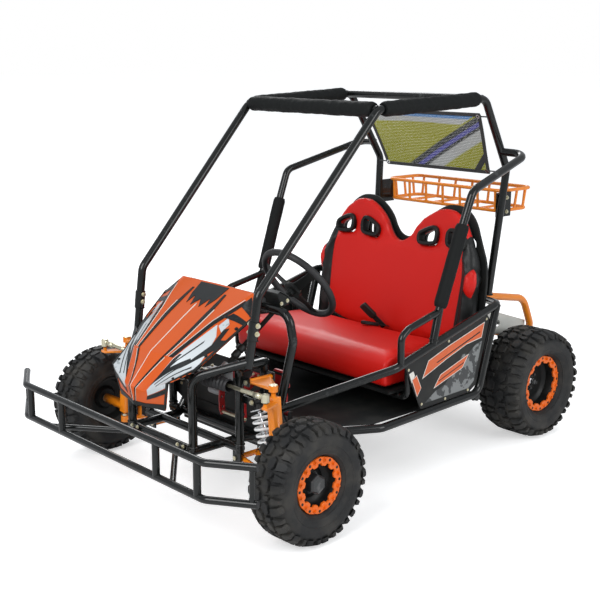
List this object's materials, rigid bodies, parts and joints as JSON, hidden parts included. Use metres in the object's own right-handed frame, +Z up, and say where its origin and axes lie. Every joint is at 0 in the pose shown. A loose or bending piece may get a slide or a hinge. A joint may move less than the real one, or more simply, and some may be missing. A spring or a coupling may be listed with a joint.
{
  "type": "racing kart",
  "caption": "Two-seat off-road racing kart with tubular frame, roll cage, double-wishbone front ends, swing arm, bench seat, net and rear rack.",
  "frame": {"origin": "on the ground under the middle of the kart's box", "axes": "the kart drives towards -Y, +X is its left side, +Z is up"},
  "size_m": [1.2144, 1.7656, 1.2363],
  "materials": {
    "lower_frame": "gloss black paint",
    "floor_pan": "satin black paint",
    "front_bumper": "gloss black paint",
    "roll_cage": "gloss black paint",
    "roof_padding": "black padded cover",
    "pillar_pad_left": "black foam sleeve",
    "pillar_pad_right": "black foam sleeve",
    "hood": "gloss orange moulding",
    "side_panel_left": "satin black",
    "side_panel_right": "satin black",
    "seat_shell": "black moulded shell",
    "seat_cushion": "red vinyl",
    "seat_back": "red vinyl",
    "shade_net": "black mesh with binding",
    "rear_rack": "gloss orange paint",
    "rear_hoop": "gloss orange paint",
    "engine_cover": "pale grey sheet",
    "engine": "cast",
    "dash_panel": "satin black",
    "rack_housing": "satin black",
    "steering_wheel": "black moulded rim and spokes",
    "steering_shaft": "satin black",
    "rack_bar": "zinc plate",
    "rear_axle": "machined",
    "swing_arm": "gloss black paint",
    "shock_body_rear": "black",
    "shock_rod_rear": "chromed rod",
    "spring_rear": "white coated wire",
    "brake_pedal": "satin black",
    "throttle_pedal": "satin black",
    "drive_chain": "oiled steel",
    "drive_sprocket": "machined",
    "tie_rod_left": "zinc plate",
    "lower_arm_left": "gloss orange paint",
    "ball_stud_left": "zinc plate",
    "knuckle_left": "gloss orange paint",
    "upper_arm_left": "gloss orange paint",
    "shock_body_front_left": "black",
    "shock_rod_front_left": "chromed rod",
    "spring_front_left": "white coated wire",
    "front_tyre_left": "knobby rubber",
    "front_rim_left": "gloss black",
    "front_ring_left": "gloss orange paint",
    "rear_tyre_left": "knobby rubber",
    "rear_rim_left": "gloss black",
    "rear_ring_left": "gloss orange paint",
    "tie_rod_right": "zinc plate",
    "lower_arm_right": "gloss orange paint",
    "ball_stud_right": "zinc plate",
    "knuckle_right": "gloss orange paint",
    "upper_arm_right": "gloss orange paint",
    "shock_body_front_right": "black",
    "shock_rod_front_right": "chromed rod",
    "spring_front_right": "white coated wire",
    "front_tyre_right": "knobby rubber",
    "front_rim_right": "gloss black",
    "front_ring_right": "gloss orange paint",
    "rear_tyre_right": "knobby rubber",
    "rear_rim_right": "gloss black",
    "rear_ring_right": "gloss orange paint"
  },
  "bodies": {
    "chassis": {"lower_frame": "lower_frame", "floor_pan": "floor_pan", "front_bumper": "front_bumper", "roll_cage": "roll_cage", "roof_padding": "roof_padding", "pillar_pad_left": "pillar_pad_left", "pillar_pad_right": "pillar_pad_right", "hood": "hood", "side_panel_left": "side_panel_left", "side_panel_right": "side_panel_right", "seat_shell": "seat_shell", "seat_cushion": "seat_cushion", "seat_back": "seat_back", "shade_net": "shade_net", "rear_rack": "rear_rack", "rear_hoop": "rear_hoop", "engine_cover": "engine_cover", "engine": "engine", "dash_panel": "dash_panel", "rack_housing": "rack_housing", "drive_chain": "drive_chain", "shock_rod_rear": "shock_rod_rear", "spring_front_left": "spring_front_left", "spring_front_right": "spring_front_right", "spring_rear": "spring_rear"},
    "steering": {"steering_wheel": "steering_wheel", "steering_shaft": "steering_shaft"},
    "rack_bar": {"rack_bar": "rack_bar"},
    "swing_arm": {"swing_arm": "swing_arm"},
    "shock_body_rear": {"shock_body_rear": "shock_body_rear"},
    "rear_axle": {"rear_axle": "rear_axle", "rear_tyre_left": "rear_tyre_left", "rear_rim_left": "rear_rim_left", "rear_ring_left": "rear_ring_left", "rear_tyre_right": "rear_tyre_right", "rear_rim_right": "rear_rim_right", "rear_ring_right": "rear_ring_right"},
    "drive_sprocket": {"drive_sprocket": "drive_sprocket"},
    "brake_pedal": {"brake_pedal": "brake_pedal"},
    "throttle_pedal": {"throttle_pedal": "throttle_pedal"},
    "tie_rod_left": {"tie_rod_left": "tie_rod_left"},
    "lower_arm_left": {"lower_arm_left": "lower_arm_left"},
    "ball_stud_left": {"ball_stud_left": "ball_stud_left"},
    "knuckle_left": {"knuckle_left": "knuckle_left"},
    "upper_arm_left": {"upper_arm_left": "upper_arm_left"},
    "shock_body_front_left": {"shock_body_front_left": "shock_body_front_left"},
    "shock_rod_front_left": {"shock_rod_front_left": "shock_rod_front_left"},
    "front_wheel_left": {"front_tyre_left": "front_tyre_left", "front_rim_left": "front_rim_left", "front_ring_left": "front_ring_left"},
    "tie_rod_right": {"tie_rod_right": "tie_rod_right"},
    "lower_arm_right": {"lower_arm_right": "lower_arm_right"},
    "ball_stud_right": {"ball_stud_right": "ball_stud_right"},
    "knuckle_right": {"knuckle_right": "knuckle_right"},
    "upper_arm_right": {"upper_arm_right": "upper_arm_right"},
    "shock_body_front_right": {"shock_body_front_right": "shock_body_front_right"},
    "shock_rod_front_right": {"shock_rod_front_right": "shock_rod_front_right"},
    "front_wheel_right": {"front_tyre_right": "front_tyre_right", "front_rim_right": "front_rim_right", "front_ring_right": "front_ring_right"}
  },
  "joints": [
    {"name": "steering_turn", "type": "hinge", "parent": "chassis", "child": "steering", "pos_m": [0.18, -0.268, 0.659], "axis": [0, 0.8111, 0.585], "range_deg": [-120, 120]},
    {"name": "rack_slide", "type": "slide", "parent": "chassis", "child": "rack_bar", "axis": [1, 0, 0], "range_m": [-0.0268, 0.0268]},
    {"name": "lower_arm_pivot_left", "type": "hinge", "parent": "chassis", "child": "lower_arm_left", "pos_m": [0.215, -0.5065, 0.165], "axis": [0, -1, 0], "range_deg": [-6, 6], "stiffness_Nm_per_rad": 2600, "deforming": ["spring_front_left"]},
    {"name": "ball_stud_pivot_left", "type": "hinge", "parent": "lower_arm_left", "child": "ball_stud_left", "pos_m": [0.4, -0.543, 0.135], "axis": [0, -1, 0], "range_deg": [-6.1, 6.1]},
    {"name": "kingpin_left", "type": "hinge", "parent": "ball_stud_left", "child": "knuckle_left", "pos_m": [0.4, -0.543, 0.135], "axis": [-0.0922, 0, 0.9957], "range_deg": [-24.3, 24.3]},
    {"name": "upper_arm_pivot_left", "type": "hinge", "parent": "chassis", "child": "upper_arm_left", "pos_m": [0.27, -0.5065, 0.415], "axis": [0, -1, 0], "range_deg": [-10.66, 10.66]},
    {"name": "tie_rod_pivot_left", "type": "hinge", "parent": "rack_bar", "child": "tie_rod_left", "pos_m": [0.1493, -0.603, 0.409], "axis": [0, -1, 0], "range_deg": [-4.3, 4.3]},
    {"name": "damper_top_left", "type": "hinge", "parent": "chassis", "child": "shock_rod_front_left", "pos_m": [0.285, -0.531, 0.355], "axis": [0, -1, 0], "range_deg": [-0.81, 0.81]},
    {"name": "damper_foot_left", "type": "hinge", "parent": "lower_arm_left", "child": "shock_body_front_left", "pos_m": [0.35, -0.531, 0.195], "axis": [0, -1, 0], "range_deg": [-5.31, 5.31]},
    {"name": "front_wheel_spin_left", "type": "hinge", "parent": "knuckle_left", "child": "front_wheel_left", "pos_m": [0.524, -0.543, 0.18], "axis": [1, 0, 0], "continuous": true},
    {"name": "lower_arm_pivot_right", "type": "hinge", "parent": "chassis", "child": "lower_arm_right", "pos_m": [-0.215, -0.5065, 0.165], "axis": [0, 1, 0], "range_deg": [-6, 6], "stiffness_Nm_per_rad": 2600, "deforming": ["spring_front_right"]},
    {"name": "ball_stud_pivot_right", "type": "hinge", "parent": "lower_arm_right", "child": "ball_stud_right", "pos_m": [-0.4, -0.543, 0.135], "axis": [0, 1, 0], "range_deg": [-6.1, 6.1]},
    {"name": "kingpin_right", "type": "hinge", "parent": "ball_stud_right", "child": "knuckle_right", "pos_m": [-0.4, -0.543, 0.135], "axis": [0.0922, 0, 0.9957], "range_deg": [-24.3, 24.3]},
    {"name": "upper_arm_pivot_right", "type": "hinge", "parent": "chassis", "child": "upper_arm_right", "pos_m": [-0.27, -0.5065, 0.415], "axis": [0, 1, 0], "range_deg": [-10.66, 10.66]},
    {"name": "tie_rod_pivot_right", "type": "hinge", "parent": "rack_bar", "child": "tie_rod_right", "pos_m": [-0.1493, -0.603, 0.409], "axis": [0, 1, 0], "range_deg": [-4.3, 4.3]},
    {"name": "damper_top_right", "type": "hinge", "parent": "chassis", "child": "shock_rod_front_right", "pos_m": [-0.285, -0.531, 0.355], "axis": [0, 1, 0], "range_deg": [-0.81, 0.81]},
    {"name": "damper_foot_right", "type": "hinge", "parent": "lower_arm_right", "child": "shock_body_front_right", "pos_m": [-0.35, -0.531, 0.195], "axis": [0, 1, 0], "range_deg": [-5.31, 5.31]},
    {"name": "front_wheel_spin_right", "type": "hinge", "parent": "knuckle_right", "child": "front_wheel_right", "pos_m": [-0.524, -0.543, 0.18], "axis": [1, 0, 0], "continuous": true},
    {"name": "swing_arm_pivot", "type": "hinge", "parent": "chassis", "child": "swing_arm", "pos_m": [0, 0.362, 0.205], "axis": [1, 0, 0], "range_deg": [-5, 5], "stiffness_Nm_per_rad": 7000, "deforming": ["spring_rear", "drive_chain"]},
    {"name": "rear_damper_foot", "type": "hinge", "parent": "swing_arm", "child": "shock_body_rear", "pos_m": [0.062, 0.557, 0.236], "axis": [1, 0, 0], "range_deg": [-5.11, 5.11]},
    {"name": "rear_axle_spin", "type": "hinge", "parent": "swing_arm", "child": "rear_axle", "pos_m": [0, 0.687, 0.197], "axis": [1, 0, 0], "continuous": true},
    {"name": "drive_sprocket_spin", "type": "hinge", "parent": "chassis", "child": "drive_sprocket", "pos_m": [0.004, 0.487, 0.335], "axis": [1, 0, 0], "continuous": true},
    {"name": "brake_pedal_pivot", "type": "hinge", "parent": "chassis", "child": "brake_pedal", "pos_m": [0.1, -0.338, 0.2545], "axis": [1, 0, 0], "range_deg": [0, 18], "stiffness_Nm_per_rad": 4, "springref_deg": -17.19},
    {"name": "throttle_pedal_pivot", "type": "hinge", "parent": "chassis", "child": "throttle_pedal", "pos_m": [0.195, -0.338, 0.2545], "axis": [1, 0, 0], "range_deg": [0, 18], "stiffness_Nm_per_rad": 4, "springref_deg": -17.19}
  ],
  "couplings": [
    {"joint": "rack_slide", "follows": "steering_turn", "m_per_rad": 0.0127},
    {"joint": "ball_stud_pivot_left", "follows": "lower_arm_pivot_left", "ratio": -1},
    {"joint": "kingpin_left", "follows": "steering_turn", "ratio": 0.2016},
    {"joint": "upper_arm_pivot_left", "follows": "lower_arm_pivot_left", "ratio": 1.76},
    {"joint": "tie_rod_pivot_left", "follows": "lower_arm_pivot_left", "ratio": 0.7},
    {"joint": "damper_top_left", "follows": "lower_arm_pivot_left", "ratio": 0.13261},
    {"joint": "damper_foot_left", "follows": "lower_arm_pivot_left", "ratio": -0.86739},
    {"joint": "ball_stud_pivot_right", "follows": "lower_arm_pivot_right", "ratio": -1},
    {"joint": "kingpin_right", "follows": "steering_turn", "ratio": 0.2016},
    {"joint": "upper_arm_pivot_right", "follows": "lower_arm_pivot_right", "ratio": 1.76},
    {"joint": "tie_rod_pivot_right", "follows": "lower_arm_pivot_right", "ratio": 0.7},
    {"joint": "damper_top_right", "follows": "lower_arm_pivot_right", "ratio": 0.13261},
    {"joint": "damper_foot_right", "follows": "lower_arm_pivot_right", "ratio": -0.86739},
    {"joint": "rear_damper_foot", "follows": "swing_arm_pivot", "ratio": -1.0022},
    {"joint": "drive_sprocket_spin", "follows": "rear_axle_spin", "ratio": 2.54}
  ]
}
